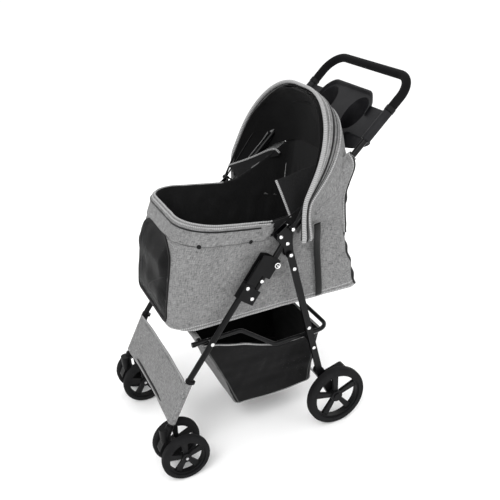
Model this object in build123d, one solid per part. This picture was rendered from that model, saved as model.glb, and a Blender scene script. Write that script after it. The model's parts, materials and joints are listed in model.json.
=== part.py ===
from build123d import *
from math import cos, radians, sin
import os

# Folding pet stroller, in millimetres. It faces -Y, its left side is +X and +Z is up.
# The origin is on the floor, under the middle of the whole object.

# ---- driving dimensions ----
tube_radius = 8.0            # front legs and handle
tube_wall = 1.2
side_plane = 195.0           # x of the front leg and handle tubes
pin_radius = 3.0
pin_clearance = 0.05         # radial, in every bore that turns on a pin
gap = 0.3                    # between pieces of different bodies

front_wheel_radius = 67.0
front_wheel_width = 24.0
caster_x = 190.0             # swivel line, and the middle of the twin wheels
caster_y = -378.4
twin_offset = 40.0           # wheel middle to swivel line
front_axle = (-341.2, 67.5)  # y and z
rear_wheel_radius = 90.0
rear_wheel_width = 27.0
rear_wheel_x = 229.5
rear_axle_at = (121.6, 90.0)
axle_radius = 4.0

leg_foot = (-374.0, 134.3)   # lower end of the front leg tube
leg_bend = (-289.2, 281.7)
tube_rise = 50.8             # slope of the upper leg and lower handle, degrees
leg_top_run = 362.0          # from the bend to the upper end
handle_offset = 28.0         # handle tube behind the leg tube, across the latch
fold_run = 263.4             # from the leg bend to the fold pivot, along the leg
handle_bend_run = 200.0      # from the fold pivot to the handle's bend
grip_bar = (396.6, 951.0)    # middle of the crossbar of the handle
grip_radius = 12.0
grip_corner = 60.0

rear_pivot = (13.6, 566.0)   # rear leg on the joint plate
rear_leg_foot = (86.6, 152.0)
rear_leg_inner_x = 206.6
rear_leg_outer_x = 214.6
rear_leg_depth = 18.0

canopy_pivot = (18.6, 642.0)
hoop_angle = 59.5            # front hoop at rest, degrees above horizontal, leaning back
hoop_length = 329.0
hoop_corner = 196.0
hoop_x = 222.0               # both hoops turn outside the joint plates
hoop_radius = 3.0
hoop_mid_angle = 50.0
hoop_mid_length = 303.0
hoop_mid_corner = 176.0
hoop_mid_x = 215.5
hoop_mid_radius = 2.3

bag_half_width = 165.0
bag_wall = 4.0
basket_tube_x = 176.0
basket_tube_radius = 6.0
basket_pivot = (-220.1, 366.4)
basket_low_z = 288.5

along = (cos(radians(tube_rise)), sin(radians(tube_rise)))   # up the slope of the leg tube
behind = (along[1], -along[0])                               # square to it, to the rear


def moved(point, run, back=0.0):
    """A side-view point, run along the leg slope and back to its rear."""
    return (
        point[0] + run * along[0] + back * behind[0],
        point[1] + run * along[1] + back * behind[1],
    )


fold_pivot = moved(leg_bend, fold_run, handle_offset)
handle_bend = moved(fold_pivot, handle_bend_run)
leg_top = moved(leg_bend, leg_top_run)


# ---- helpers ----
def slab(sketch, x_from, x_to):
    """A side-view sketch (y, z) made solid between two values of x."""
    return extrude(Plane.YZ.offset(x_from) * sketch, x_to - x_from)


def disc(at, radius, x_from, x_to):
    return slab(Pos(*at) * Circle(radius), x_from, x_to)


def ring(at, radius, bore, x_from, x_to):
    return slab(Pos(*at) * (Circle(radius) - Circle(bore)), x_from, x_to)


def hull_of(*circles):
    """The outline round a set of circles, each (y, z, radius)."""
    edges = ShapeList()
    for y, z, radius in circles:
        edges += (Pos(y, z) * Circle(radius)).edges()
    return make_hull(edges)


def outline(*points):
    return make_face(Polyline(*points, close=True))


def rod(points, radius, bend):
    """A round bar along straight runs joined by tangent arcs."""
    path = FilletPolyline(*points, radius=bend) if len(points) > 2 else Line(*points)
    return sweep(Plane(path @ 0, z_dir=path % 0) * Circle(radius), path=path)


def pipe(points, radius, wall, bend):
    return rod(points, radius, bend) - rod(points, radius - wall, bend)


def at_x(x, *points):
    return [(x, y, z) for y, z in points]


def other_side(shape):
    return mirror(shape, about=Plane.YZ)


def group(solids):
    """Separate solids kept together in one node."""
    found = []
    for shape in solids:
        found += shape.solids()
    return Compound(children=found)


def both_sides(*shapes):
    return group([*shapes, *[other_side(shape) for shape in shapes]])


head_radius = 5.2
head_height = 2.4


def turned_pin(at, *profile):
    """A solid turned about the line through at along x, from (x, radius) corners and arcs of three."""
    edges = []
    for start, end in zip(profile, profile[1:] + profile[:1]):
        edges.append(ThreePointArc(start[:2], start[2:], end[:2]) if len(start) == 4 else Line(start, end[:2]))
    return Pos(0, *at) * revolve(make_face(edges), Axis.X)


def rivet(at, x_inner, x_outer, radius=2.4):
    """A domed rivet through pieces whose faces are at x_inner and x_outer."""
    ball = (head_radius**2 + head_height**2) / (2 * head_height)
    half_way = head_radius / 2
    sagitta = (ball**2 - half_way**2) ** 0.5 - (ball - head_height)
    return turned_pin(
        at,
        (x_inner - head_height, 0, x_inner - sagitta, half_way),
        (x_inner, head_radius),
        (x_inner, radius),
        (x_outer, radius),
        (x_outer, head_radius, x_outer + sagitta, half_way),
        (x_outer + head_height, 0),
    )


def save(shape, node):
    export_step(shape, f"parts/{node}.step")


def save_pair(shape, node):
    save(shape, node + "_left")
    save(other_side(shape), node + "_right")


# ---- front frame ----
leg_rivet = moved(leg_bend, 283.7)
tube_inner_x = side_plane - tube_radius
tube_outer_x = side_plane + tube_radius
wall_outer = (203.4, 206.4)      # outer cheek of the latch, x from and to
wall_inner = (183.6, 186.6)


def front_leg():
    leg = pipe(at_x(side_plane, leg_foot, leg_bend, leg_top), tube_radius, tube_wall, 60)
    leg -= disc(leg_rivet, 2.5, 180, 210)
    return leg - disc(basket_pivot, pin_radius + pin_clearance, 180, 210)


footrest_low = 0.19              # share of the straight leg below the panel
footrest_high = 0.92


def on_lower_leg(share):
    return tuple(a + share * (b - a) for a, b in zip(leg_foot, leg_bend))


def lower_leg_rod(share_from, share_to, radius):
    return rod(at_x(side_plane, on_lower_leg(share_from), on_lower_leg(share_to)), radius, 0)


hem_at = on_lower_leg(footrest_low + 0.06)
hem_radius = 8.5
crossbar_radius = 6.0


def front_crossbar():
    return pipe([(-184.5, *hem_at), (184.5, *hem_at)], crossbar_radius, tube_wall, 0)


def footrest_panel():
    """Fabric across the lower legs: a sleeve on each leg, a sheet and a hem round the crossbar."""
    low, high = on_lower_leg(footrest_low), on_lower_leg(footrest_high)
    sheet_half = 1.2
    across = ((high[1] - low[1]), -(high[0] - low[0]))
    size = (across[0] ** 2 + across[1] ** 2) ** 0.5
    shift = (across[0] / size * sheet_half, across[1] / size * sheet_half)
    sheet = outline(
        (low[0] + shift[0], low[1] + shift[1]),
        (high[0] + shift[0], high[1] + shift[1]),
        (high[0] - shift[0], high[1] - shift[1]),
        (low[0] - shift[0], low[1] - shift[1]),
    )
    panel = slab(sheet, -side_plane, side_plane)
    sleeve = lower_leg_rod(footrest_low, footrest_high, tube_radius + 1.8)
    panel += sleeve + other_side(sleeve) + disc(hem_at, hem_radius, -183, 183)
    bore = lower_leg_rod(0, 1, tube_radius + gap)
    panel -= bore + other_side(bore)
    return panel - disc(hem_at, crossbar_radius + gap, -184.8, 184.8)


def sleeve_stop():
    band = lower_leg_rod(0.925, 0.968, 10.5)
    stop = band + band.moved(Pos(0, 5, -2.9))
    return stop - lower_leg_rod(0.8, 1, tube_radius + 0.1)


def caster_socket():
    """Plastic foot of the leg, with the bore that the caster stem turns in."""
    body = Pos(caster_x, caster_y, 134.2) * Cylinder(15, 31.8)
    body += lower_leg_rod(-0.03, 0.14, 11)
    body &= Pos(caster_x, caster_y, 150) * Box(60, 80, 63.4)
    body -= lower_leg_rod(0, 0.3, tube_radius + 0.05)
    return body - Pos(caster_x, caster_y, 118) * Cylinder(5 + pin_clearance, 20)


def latch_shape(*corners):
    """An outline from (run, forward) corners measured from the fold pivot."""
    return outline(*[moved(fold_pivot, run, -forward) for run, forward in corners])


def latch_bracket():
    """Lower half of the fold joint: two cheeks and a web, fixed to the leg."""
    cheek = latch_shape((-16, -11), (-16, 39), (30, 39), (30, 11), (26, 11), (26, -11))
    bracket = slab(cheek, *wall_outer) + slab(cheek, *wall_inner)
    web = latch_shape((-16, 36.5), (-16, 39), (30, 39), (30, 36.5))
    bracket += slab(web, wall_inner[1], wall_outer[0])
    bracket -= disc(fold_pivot, pin_radius, 180, 210)
    return bracket - disc(leg_rivet, 2.5, 180, 210)


def frame_rivets():
    fold_pin = rivet(fold_pivot, wall_inner[0], wall_outer[1], pin_radius - 0.01)
    leg_pin = rivet(leg_rivet, wall_inner[0], wall_outer[1])
    inside = basket_tube_x - basket_tube_radius
    basket_pin = rivet(basket_pivot, inside - 0.1, tube_outer_x, pin_radius)
    spacer_from = basket_tube_x + basket_tube_radius + gap
    basket_pin += disc(basket_pivot, 5, spacer_from, tube_inner_x - 0.1)
    return both_sides(fold_pin, leg_pin, basket_pin)


# ---- carrier bag ----
rim_front = (-240.0, 689.0)
rim_rear = (-16.0, 649.0)
bag_bottom_front = (-281.0, 399.0)
bag_bottom_rear = (240.0, 385.0)
bag_outline = [
    bag_bottom_front, bag_bottom_rear, (222, 470), (204, 570), (209, 640), (229, 748),
    (34, 653), rim_rear, rim_front, (-269, 625), (-291, 575), (-305, 483), (-313, 421),
]
bag_corner = 26.0


def bag_prism(side_view, half_width, corner):
    body = slab(side_view, -half_width, half_width)
    front_view = RectangleRounded(2 * half_width, 700, corner)
    return body & extrude(Plane.XZ.offset(-400) * Pos(0, 385 + 350 - 14) * front_view, 800)


def carrier_bag():
    """Sewn tub, open on top from the front rim back under the hood."""
    outer = outline(*bag_outline)
    inside = offset(outer, -bag_wall, kind=Kind.INTERSECTION)
    mouth = outline((-237, 675), (-16, 636), (34, 640), (223, 730), (224, 900), (-234, 900))
    tub = bag_prism(outer, bag_half_width, bag_corner)
    return tub - bag_prism(inside + mouth, bag_half_width - bag_wall, bag_corner - bag_wall)


def window_mesh():
    """Arched mesh let into the front face, lying just in front of it."""
    face = outline((-291.6, 575), (-305.6, 483), (-312.4, 432), (-313.2, 432), (-306.6, 483), (-292.6, 575))
    sheet = slab(face, -118, 118)
    return sheet


def rim_frame():
    """Sprung wire in the rim's hem, from one side round the front to the other."""
    x = bag_half_width - bag_wall / 2
    lift = 3.2
    rear = (x, rim_rear[0], rim_rear[1] + lift)
    front = (x, rim_front[0] + 2.5, rim_front[1] + lift - 0.4)
    points = [rear, front, (-x, *front[1:]), (-x, *rear[1:])]
    return rod(points, 2.5, 45)


def floor_sheet(lower, upper):
    """A slab over the bag's floor, between two heights above its outer face."""
    slope = (bag_bottom_rear[1] - bag_bottom_front[1]) / (bag_bottom_rear[0] - bag_bottom_front[0])
    low_y, high_y = -272.0, 218.0
    low_z = bag_bottom_front[1] + slope * (low_y - bag_bottom_front[0])
    high_z = bag_bottom_front[1] + slope * (high_y - bag_bottom_front[0])
    return outline(
        (low_y, low_z + lower), (high_y, high_z + lower), (high_y, high_z + upper), (low_y, low_z + upper)
    )


def floor_board():
    return slab(floor_sheet(bag_wall + 0.3, bag_wall + 4.3), -140, 140)


def floor_pad():
    pad = slab(floor_sheet(bag_wall + 4.6, bag_wall + 24), -140, 140)
    return fillet(pad.edges().filter_by(Axis.Z, tolerance=5), 12)


# ---- handle ----
f_rivet = moved(fold_pivot, 52)
plate_rivet = (9.6, 597.0)
plate_front_rivet = (-7.4, 620.0)
plate_outer = (203.3, 206.3)
plate_inner = (183.7, 186.7)


def handle_points(x):
    return at_x(x, moved(fold_pivot, -12), handle_bend, grip_bar)


def handle_tube():
    left = handle_points(side_plane)
    right = handle_points(-side_plane)[::-1]
    path = left + right
    radii = [80, grip_corner, grip_corner, 80]
    line = FilletPolyline(*path, radius=radii)
    start = Plane(line @ 0, z_dir=line % 0)
    tube = sweep(start * Circle(tube_radius), path=line)
    tube -= sweep(start * Circle(tube_radius - tube_wall), path=line)
    for sign in (1, -1):
        ends = sorted((sign * 180, sign * 212))
        tube -= disc(fold_pivot, pin_radius + pin_clearance, *ends)
        for at in (f_rivet, plate_rivet):
            tube -= disc(at, 2.5, *ends)
    return tube


def on_upper_handle(share):
    """A side-view point on the upper run, from the bend (0) to the crossbar (1)."""
    return tuple(a + share * (b - a) for a, b in zip(handle_bend, grip_bar))


grip_start = 0.815               # shares of the upper run
tray_start = 0.60
tray_end = 0.783


def handle_grip():
    """Foam sleeve round the crossbar and both corners."""
    side = on_upper_handle(grip_start)
    points = [*at_x(side_plane, side, grip_bar), *at_x(-side_plane, grip_bar, side)]
    return rod(points, grip_radius, grip_corner) - rod(points, tube_radius + 0.1, grip_corner)


def upper_handle_rod(share_from, share_to, radius):
    return rod(at_x(side_plane, on_upper_handle(share_from), on_upper_handle(share_to)), radius, 0)


def grip_collar():
    collar = upper_handle_rod(0.787, 0.813, 13.5)
    return collar - upper_handle_rod(0.7, 0.9, tube_radius + 0.1)


well_x = 78.0
well_y = 290.0
well_radius = 39.0
well_wall = 3.0
well_floor = 775.0               # height of the inside of the wells' floor
deck_depth = 4.0
deck_drop = 4.0                  # deck's lower face below the tube's middle line
lip_rise = 13.0


def on_line(y):
    """Height of the tray deck's lower face at y."""
    slope = (grip_bar[1] - handle_bend[1]) / (grip_bar[0] - handle_bend[0])
    return handle_bend[1] + slope * (y - handle_bend[0]) - deck_drop


def above_line(low, high, y_from=200.0, y_to=400.0):
    """The slab across the whole tray between two heights above the deck's lower face."""
    shape = outline(
        (y_from, on_line(y_from) + low), (y_to, on_line(y_to) + low),
        (y_to, on_line(y_to) + high), (y_from, on_line(y_from) + high),
    )
    return slab(shape, -190, 190)


def parent_tray():
    """Moulded tray in the plane of the handle, with two upright cup wells and two tube sleeves."""
    plan = Pos(0, (250 + 316) / 2) * Rectangle(2 * 187, 316 - 250)
    wells_plan = hull_of((-well_x, well_y, 49), (well_x, well_y, 49))
    plan += wells_plan
    column = extrude(Pos(0, 0, 700) * plan, 300)
    tray = column & above_line(0, deck_depth)
    lip_plan = wells_plan - offset(wells_plan, -3.5)
    lip = extrude(Pos(0, 0, 700) * lip_plan, 300) & above_line(0, lip_rise, y_from=292)
    tray += lip
    sleeve = upper_handle_rod(tray_start, tray_end, 12.5)
    tray += sleeve + other_side(sleeve)
    below = above_line(-150, deck_depth)
    for x in (well_x, -well_x):
        outside = Pos(x, well_y, well_floor - well_wall + 100) * Cylinder(well_radius + well_wall, 200)
        tray += outside & below
    for x in (well_x, -well_x):
        tray -= Pos(x, well_y, well_floor + 100) * Cylinder(well_radius, 200)
    bore = upper_handle_rod(0.5, 0.9, tube_radius + 0.1)
    return tray - bore - other_side(bore)


def joint_plate():
    """Two cheeks that hold the canopy pivot, the handle tube and the rear leg's pivot."""
    upper = hull_of((*canopy_pivot, 8), (*plate_front_rivet, 12), (*plate_rivet, 14))
    lower = hull_of((*plate_rivet, 14), (*rear_pivot, 11))
    shape = upper + lower
    plate = slab(shape, *plate_outer) + slab(shape, *plate_inner)
    plate -= disc(canopy_pivot, pin_radius + 0.01, 180, 210)
    plate -= disc(rear_pivot, pin_radius + 0.01, 180, 210)
    for at in (plate_rivet, plate_front_rivet):
        plate -= disc(at, 2.5, 180, 210)
    return group([plate])


def joint_rivets():
    """Rivets of the joint plate. The longest carries both hoops outside it."""
    canopy_pin = rivet(canopy_pivot, plate_inner[0], hoop_x + hoop_radius + gap, pin_radius)
    front = rivet(plate_front_rivet, plate_inner[0], plate_outer[1])
    middle = rivet(plate_rivet, plate_inner[0], plate_outer[1])
    leg_pin = rivet(rear_pivot, plate_inner[0], rear_leg_outer_x + 0.1, pin_radius)
    lower = rivet(f_rivet, tube_inner_x, tube_outer_x)
    return both_sides(canopy_pin, front, middle, leg_pin, lower)


# ---- latch ----
ring_at = moved(fold_pivot, 108, 11.2)
pull_ring_x = wall_outer[1] + 2.5
pull_ring_radius = 7.0


def latch_slider():
    """Sleeve that spans both tubes when locked. It is open at the front, where the leg leaves it."""
    cheek = latch_shape(
        (31, 11.5), (31, 39), (116, 39), (122, 20), (122, -13.5), (66, -13.5), (66, 11.5)
    )
    slider = slab(cheek, *wall_outer) + slab(cheek, *wall_inner)
    back = latch_shape((66, -13.5), (66, -9), (122, -9), (122, -13.5))
    slider += slab(back, wall_inner[1], wall_outer[0])
    return slider - disc(ring_at, 2.2, 175, 215)


def latch_ring():
    """Pull ring with a spoke to the pin that joins it to the slider's rear edge."""
    edge = moved(ring_at, 0, pull_ring_radius)
    pull = disc(ring_at, 2.0, wall_inner[0] - 1, pull_ring_x)
    pull += rod(at_x(pull_ring_x, ring_at, edge), 1.4, 0)
    return pull + Pos(pull_ring_x, *ring_at) * Rot(0, 90, 0) * Torus(pull_ring_radius, 1.5)


# ---- canopy ----
def turned(pivot, angle, run):
    return (pivot[0] + run * cos(radians(angle)), pivot[1] + run * sin(radians(angle)))


def hoop(x, radius, angle, length, corner):
    """An arch that turns on the canopy pivot, with an eye at each foot."""
    foot = turned(canopy_pivot, angle, 6)
    top = turned(canopy_pivot, angle, length)
    points = [(x, *foot), (x, *top), (-x, *top), (-x, *foot)]
    arch = rod(points, radius, corner)
    for side in (x, -x):
        arch += disc(canopy_pivot, 7, side - radius + 0.5, side + radius - 0.5)
        ends = (side - 6, side + 6)
        arch -= disc(canopy_pivot, pin_radius + pin_clearance, *ends)
    return arch


def arch_section(angle, half_width, low, high, corner):
    """A filled arch in a plane through the canopy pivot's line, at an angle above horizontal."""
    direction = Vector(0, cos(radians(angle)), sin(radians(angle)))
    plane = Plane(
        origin=(0, *canopy_pivot), x_dir=(1, 0, 0), z_dir=Vector(1, 0, 0).cross(direction)
    )
    shape = Pos(0, (low + high) / 2) * Rectangle(2 * half_width, high - low)
    top = shape.vertices().sort_by(Axis.Y)[-2:]
    return plane * fillet(top, corner)


# angle above horizontal, reach from the canopy pivot, corner radius and half width
hood_sections = [(57.6, 327, 194, 229), (49, 313, 184, 226), (40, 280, 140, 220), (30, 248, 110, 218)]
hood_low = 34.0
hood_wall = 3.0


def canopy_hood():
    """Folded-back hood: one curved sheet from the front hoop down to the bag's rear edge."""
    outer = []
    inner = []
    for angle, high, corner, half_width in hood_sections:
        outer.append(arch_section(angle, half_width, hood_low, high, corner))
    extended = [(60.6, 328, 195, 229), *hood_sections, (25, 236, 116, 213)]
    for angle, high, corner, half_width in extended:
        half_width -= hood_wall
        inner.append(arch_section(angle, half_width, hood_low - 20, high - hood_wall, corner - hood_wall))
    hood = loft(outer, ruled=True) - loft(inner, ruled=True)
    tube_room = upper_handle_rod(-0.02, 0.66, tube_radius + 0.5)
    return hood - tube_room - other_side(tube_room)


# ---- rear frame ----
def leg_at(z):
    share = (z - rear_pivot[1]) / (rear_leg_foot[1] - rear_pivot[1])
    return (rear_pivot[0] + share * (rear_leg_foot[0] - rear_pivot[0]), z)


rear_rivets = [leg_at(524.0), leg_at(331.0), leg_at(262.0)]
basket_rest = leg_at(basket_low_z)


def rear_leg_outline(half_depth, top_z, bottom_z):
    top, bottom = leg_at(top_z), leg_at(bottom_z)
    return hull_of((*top, half_depth), (*bottom, half_depth))


def rear_leg():
    """Flat-sided tube from the joint plate down to the brake housing."""
    leg = slab(rear_leg_outline(rear_leg_depth / 2, 566, 152), rear_leg_inner_x, rear_leg_outer_x)
    core = rear_leg_outline(rear_leg_depth / 2 - 1.3, 540, 160)
    leg -= slab(core, rear_leg_inner_x + 1.3, rear_leg_outer_x - 1.3)
    leg -= disc(rear_pivot, pin_radius + pin_clearance, 200, 220)
    for at in rear_rivets:
        leg -= disc(at, 2.5, 200, 220)
    return leg


def basket_bracket():
    """Plate on the leg's inner face with the boss that the basket tube bears on."""
    plate = slab(hull_of((*rear_rivets[1], 9), (*rear_rivets[2], 9)), 203.3, 206.4)
    boss = disc(basket_rest, 9, basket_tube_x + basket_tube_radius + 0.5, 204)
    bracket = plate + boss
    for at in rear_rivets[1:]:
        bracket -= disc(at, 2.5, 200, 220)
    return bracket


def rear_leg_rivets():
    upper = rivet(rear_rivets[0], rear_leg_inner_x, rear_leg_outer_x)
    lower = [rivet(at, 203.3, rear_leg_outer_x) for at in rear_rivets[1:]]
    return both_sides(upper, *lower)


housing_from = 197.0
housing_to = 215.2
pedal_pivot = (104.0, 126.0)


def brake_housing():
    """Moulded foot of the rear leg, with the axle's bore and the pedal's stub pin."""
    body = slab(
        hull_of((*leg_at(178.0), 13), (*rear_axle_at, 15), (pedal_pivot[0], pedal_pivot[1], 11)),
        housing_from, housing_to,
    )
    body -= slab(rear_leg_outline(rear_leg_depth / 2 + 0.1, 566, 152), rear_leg_inner_x - 0.1, 220)
    body -= disc(rear_axle_at, axle_radius + 0.02, 190, 220)
    return body + disc(pedal_pivot, 4, 184, housing_from)


def rear_axle():
    return disc(rear_axle_at, axle_radius, -242, 242)


def axle_cap():
    cap = disc(rear_axle_at, 10, 239.9, 243)
    return cap - disc(rear_axle_at, axle_radius + 0.02, 230, 242.1)


def brake_pedal():
    """Foot lever that turns down about the stub pin to lock the wheel."""
    arm = outline((104, 132), (104, 120), (128, 121), (176, 133), (182, 141), (176, 143), (126, 131))
    pedal = slab(arm, 160, housing_from - gap) + disc(pedal_pivot, 8.5, 184.3, housing_from - gap)
    return pedal - disc(pedal_pivot, 4 + pin_clearance, 150, 200) - slab(
        outline((90, 100), (120, 100), (120, 150), (90, 150)), 150, 184.2
    )


# ---- wheels ----
def rim(at, x, radius, width, hub_radius):
    """Five-spoke moulded rim with a dished hub."""
    half = width / 2
    wheel = ring(at, radius, radius - 6, x - half + 2, x + half - 2)
    wheel += disc(at, hub_radius, x - half + 1, x + half - 1)
    for step in range(5):
        turn = Pos(*at) * Rot(0, 0, 72 * step + 18)
        spoke = turn * outline(
            (hub_radius - 3, -6), (radius - 4, -9), (radius - 4, 9), (hub_radius - 3, 6)
        )
        wheel += slab(spoke, x - half + 6, x + half - 6)
    return wheel - disc(at, axle_radius + pin_clearance, x - half - 5, x + half + 5)


def tyre(at, x, radius, inner, width):
    section = Pos((radius + inner) / 2, 0) * Rectangle(radius - inner, width)
    crown = section.vertices().group_by(Axis.X)[-1]
    section = fillet(crown, width * 0.32)
    body = revolve(Plane.XY * section, Axis.Y)
    return Pos(x, *at) * Rot(0, 0, 90) * body


def rear_rim():
    return rim(rear_axle_at, rear_wheel_x, 71.9, 22, 17)


def rear_tyre():
    return tyre(rear_axle_at, rear_wheel_x, rear_wheel_radius, 72.0, rear_wheel_width)


# ---- casters ----
def caster_fork():
    """Swivel housing between the twin wheels, with its stem and front nub."""
    body = slab(
        hull_of((caster_y, 102, 14), (*front_axle, 13), (caster_y - 14, 86, 10)),
        caster_x - 13, caster_x + 13,
    )
    body += Pos(caster_x, caster_y, 111) * Cylinder(15, 13)
    body += Pos(caster_x, caster_y, 121) * Cylinder(5, 10)
    return body - disc(front_axle, axle_radius + 0.02, caster_x - 60, caster_x + 60)


def caster_axle():
    return disc(front_axle, axle_radius, caster_x - 52.5, caster_x + 52.5)


def front_rim(x):
    return rim(front_axle, x, 52.9, 20, 13)


def front_tyre(x):
    return tyre(front_axle, x, front_wheel_radius, 53.0, front_wheel_width)


# ---- basket ----
def basket_frame():
    """One bent tube: a side rail each side, joined by a bar at the rear."""
    side = [(-258, basket_pivot[1]), (-129, basket_pivot[1]), (-34, basket_low_z), (136, basket_low_z)]
    points = [*at_x(basket_tube_x, *side), *at_x(-basket_tube_x, *side[::-1])]
    radii = [28, 28, 34, 34, 28, 28]
    line = FilletPolyline(*points, radius=radii)
    start = Plane(line @ 0, z_dir=line % 0)
    frame = sweep(start * Circle(basket_tube_radius), path=line)
    frame -= sweep(start * Circle(basket_tube_radius - 1.1), path=line)
    for sign in (1, -1):
        ends = sorted((sign * 168, sign * 184))
        frame -= disc(basket_pivot, pin_radius + pin_clearance, *ends)
    return frame


def frame_cap():
    cap = rod(at_x(basket_tube_x, (-268, basket_pivot[1]), (-258.1, basket_pivot[1])), 7, 0)
    return cap


basket_bar_at = (-244.0, basket_pivot[1])


def basket_crossbar():
    inner = basket_tube_x - basket_tube_radius - 0.1
    return pipe([(-inner, *basket_bar_at), (inner, *basket_bar_at)], basket_tube_radius, 1.1, 0)


basket_profile = [(-238, 352), (-150, 100), (98, 96), (124, 276), (-36, 276)]


def basket_taper(top_half, bottom_half, low, high):
    shape = outline((-top_half, high), (-bottom_half, low), (bottom_half, low), (top_half, high))
    return extrude(Plane.XZ.offset(-400) * shape, 800)


def basket_fabric():
    """Open-topped sling: panelled front and rear, mesh sides, tapering to its floor."""
    outer = slab(outline(*basket_profile), -168, 168) & basket_taper(166, 135, 90, 360)
    inside = outline((-232, 352), (-147, 103), (95, 99), (121, 276), (121, 420), (-232, 420))
    hollow = slab(inside, -168, 168) & basket_taper(170, 132, 90, 425)
    return outer - hollow


def build():
    os.makedirs("parts", exist_ok=True)
    save_pair(front_leg(), "front_leg")
    save(front_crossbar(), "front_crossbar")
    save(footrest_panel(), "footrest_panel")
    save(both_sides(sleeve_stop()), "sleeve_stops")
    save_pair(caster_socket(), "caster_socket")
    save_pair(latch_bracket(), "latch_bracket")
    save(frame_rivets(), "frame_rivets")
    save(carrier_bag(), "carrier_bag")
    save(window_mesh(), "window_mesh")
    save(rim_frame(), "rim_frame")
    save(floor_board(), "floor_board")
    save(floor_pad(), "floor_pad")

    save(handle_tube(), "handle_tube")
    save(handle_grip(), "handle_grip")
    save(both_sides(grip_collar()), "grip_collars")
    save(parent_tray(), "parent_tray")
    save_pair(joint_plate(), "joint_plate")
    save(joint_rivets(), "joint_rivets")
    save(canopy_hood(), "canopy_hood")
    save_pair(latch_slider(), "latch_slider")
    save_pair(latch_ring(), "latch_ring")
    front_hoop = hoop(hoop_x, hoop_radius, hoop_angle, hoop_length, hoop_corner)
    middle_hoop = hoop(hoop_mid_x, hoop_mid_radius, hoop_mid_angle, hoop_mid_length, hoop_mid_corner)
    save(front_hoop, "canopy_hoop_front")
    save(middle_hoop, "canopy_hoop_mid")

    save_pair(rear_leg(), "rear_leg")
    save(both_sides(basket_bracket()), "basket_brackets")
    save(rear_leg_rivets(), "rear_leg_rivets")
    save_pair(brake_housing(), "brake_housing")
    save(rear_axle(), "rear_axle")
    save(both_sides(axle_cap()), "axle_caps")
    save_pair(brake_pedal(), "brake_pedal")
    save_pair(rear_rim(), "rear_rim")
    save_pair(rear_tyre(), "rear_tyre")

    save_pair(caster_fork(), "caster_fork")
    save_pair(caster_axle(), "caster_axle")
    for place, x in (("outer", caster_x + twin_offset), ("inner", caster_x - twin_offset)):
        save_pair(front_rim(x), "front_rim_" + place)
        save_pair(front_tyre(x), "front_tyre_" + place)

    save(basket_frame(), "basket_frame")
    save(both_sides(frame_cap()), "basket_frame_caps")
    save(basket_crossbar(), "basket_crossbar")
    save(basket_fabric(), "basket_fabric")


build()
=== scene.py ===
import json
import math
import bpy
import bmesh
import numpy as np
from mathutils import Matrix, Vector


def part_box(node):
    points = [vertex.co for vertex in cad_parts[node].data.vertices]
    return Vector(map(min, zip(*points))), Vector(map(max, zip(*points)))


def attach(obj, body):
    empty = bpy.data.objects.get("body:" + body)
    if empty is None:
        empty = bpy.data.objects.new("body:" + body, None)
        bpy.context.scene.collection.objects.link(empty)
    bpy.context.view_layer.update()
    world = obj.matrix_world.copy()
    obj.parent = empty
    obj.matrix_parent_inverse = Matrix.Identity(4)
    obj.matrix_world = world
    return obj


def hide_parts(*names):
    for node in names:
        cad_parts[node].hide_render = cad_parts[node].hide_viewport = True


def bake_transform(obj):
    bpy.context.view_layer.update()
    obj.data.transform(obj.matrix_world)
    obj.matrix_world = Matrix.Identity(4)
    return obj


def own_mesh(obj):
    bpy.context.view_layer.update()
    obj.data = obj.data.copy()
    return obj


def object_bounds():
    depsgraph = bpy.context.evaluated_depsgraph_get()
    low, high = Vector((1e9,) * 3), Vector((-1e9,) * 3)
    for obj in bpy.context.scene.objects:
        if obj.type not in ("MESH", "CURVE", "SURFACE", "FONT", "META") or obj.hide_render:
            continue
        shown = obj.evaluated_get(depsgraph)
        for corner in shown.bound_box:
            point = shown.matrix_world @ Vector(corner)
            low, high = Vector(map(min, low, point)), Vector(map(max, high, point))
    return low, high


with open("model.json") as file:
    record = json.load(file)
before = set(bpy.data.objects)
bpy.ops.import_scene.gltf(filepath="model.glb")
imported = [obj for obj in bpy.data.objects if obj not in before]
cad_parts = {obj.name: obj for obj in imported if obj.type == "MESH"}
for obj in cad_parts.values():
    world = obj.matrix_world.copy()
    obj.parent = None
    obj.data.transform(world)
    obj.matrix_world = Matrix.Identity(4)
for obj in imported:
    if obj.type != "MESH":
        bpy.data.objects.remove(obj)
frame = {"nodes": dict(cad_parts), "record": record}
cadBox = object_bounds()
cadNodes = frame["nodes"]
print("frame loaded")

# helpers for materials


def toLinear(hexColour):
    # sRGB hex to linear RGBA
    channels = [int(hexColour[i:i + 2], 16) / 255 for i in (1, 3, 5)]
    return tuple(c / 12.92 if c <= 0.04045 else ((c + 0.055) / 1.055) ** 2.4 for c in channels) + (1.0,)


def addNode(tree, kind, settings=None, links=None):
    # settings go to sockets by name or number, or else to the node's own properties
    node = tree.nodes.new("ShaderNode" + kind)
    for key, value in (settings or {}).items():
        if isinstance(key, str) and hasattr(node, key) and key not in node.inputs:
            setattr(node, key, value)
    for key, value in (settings or {}).items():
        if isinstance(key, int) or key in node.inputs:
            node.inputs[key].default_value = value
    for key, source in (links or {}).items():
        tree.links.new(source, node.inputs[key])
    return node


def startMaterial(name, colour, roughness, metallic=0.0):
    material = bpy.data.materials.new(name)
    material.use_nodes = True
    tree = material.node_tree
    shader = tree.nodes["Principled BSDF"]
    shader.inputs["Base Color"].default_value = toLinear(colour)
    shader.inputs["Roughness"].default_value = roughness
    shader.inputs["Metallic"].default_value = metallic
    if not metallic:
        shader.inputs["Specular IOR Level"].default_value = 0.12
    return material, tree, shader


def stops(tree, source, low, high, lowColour, highColour):
    ramp = addNode(tree, "ValToRGB", links={"Fac": source})
    ends = ramp.color_ramp.elements
    ends[0].position, ends[1].position = low, high
    ends[0].color, ends[1].color = toLinear(lowColour), toLinear(highColour)
    return ramp.outputs["Color"]


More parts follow.
